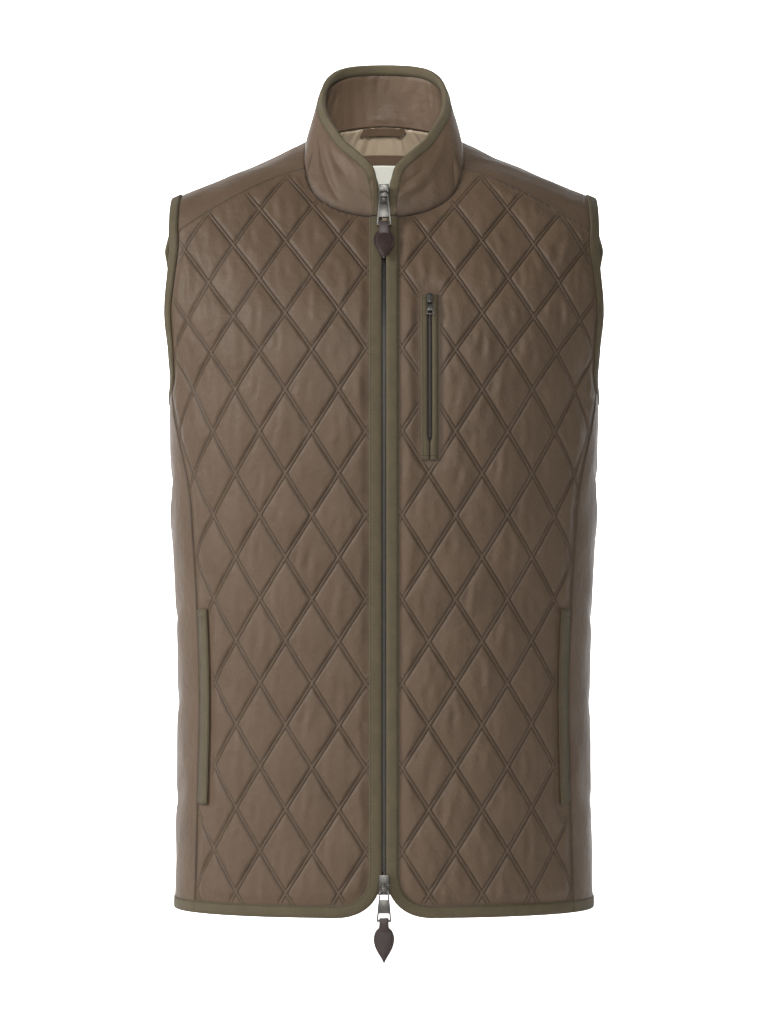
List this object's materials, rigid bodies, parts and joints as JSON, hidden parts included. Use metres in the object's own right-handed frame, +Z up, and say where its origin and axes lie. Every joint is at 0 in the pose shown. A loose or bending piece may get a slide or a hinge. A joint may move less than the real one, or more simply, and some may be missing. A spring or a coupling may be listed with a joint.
{
  "type": "quilted vest",
  "caption": "Sleeveless quilted vest with a stand collar, bound edges, a two-way front zip with leather pulls, a zipped chest pocket and two welt pockets, filled out as worn.",
  "frame": {"origin": "middle of the neck at the height of the shoulder seam, where a wearer carries the vest", "axes": "+Z up, -Y is the front of the vest, +X is the wearer's left"},
  "size_m": [0.4352, 0.27, 0.8654],
  "materials": {
    "shell": "fine woven polyester with a soft sheen, quilted",
    "braid": "ribbed grosgrain, matt",
    "lining": "smooth satin lining",
    "label": "plain woven satin, blank",
    "zip_tape": "tight woven tape, matt",
    "zip_metal": "plated zip metal, lightly worn",
    "leather": "smooth dark brown leather"
  },
  "bodies": {
    "root": {"front_right": "shell", "front_left": "shell", "back": "shell", "side_right": "shell", "side_left": "shell", "yoke": "shell", "collar": "shell", "chest_lip_inner": "shell", "chest_lip_outer": "shell", "binding_front_right": "braid", "binding_front_left": "braid", "binding_armhole_right": "braid", "binding_armhole_left": "braid", "binding_hem": "braid", "binding_collar": "braid", "pocket_welt_right": "braid", "pocket_welt_left": "braid", "zip_tape_right": "zip_tape", "zip_tape_left": "zip_tape", "chest_zip": "zip_tape", "zip_teeth": "zip_metal", "slider_top": "zip_metal", "slider_bottom": "zip_metal", "slider_chest": "zip_metal", "lining_back": "lining", "facing_band": "lining", "hanger_loop": "lining", "label": "label"},
    "pull_top": {"pull_tab_top": "zip_metal", "pull_leather_top": "leather"},
    "pull_bottom": {"pull_tab_bottom": "zip_metal", "pull_leather_bottom": "leather"},
    "pull_chest": {"pull_tab_chest": "zip_metal"}
  },
  "joints": [
    {"name": "pull_top_hinge", "type": "hinge", "parent": "root", "child": "pull_top", "pos_m": [0, -0.07776, -0.044], "axis": [-1, 0, 0], "range_deg": [0, 150]},
    {"name": "pull_bottom_hinge", "type": "hinge", "parent": "root", "child": "pull_bottom", "pos_m": [0, -0.13414, -0.701], "axis": [-1, 0, 0], "range_deg": [0, 150]},
    {"name": "pull_chest_hinge", "type": "hinge", "parent": "root", "child": "pull_chest", "pos_m": [0.04329, -0.11833, -0.14823], "axis": [-0.9983, -0.0584, 0], "range_deg": [0, 150]}
  ]
}
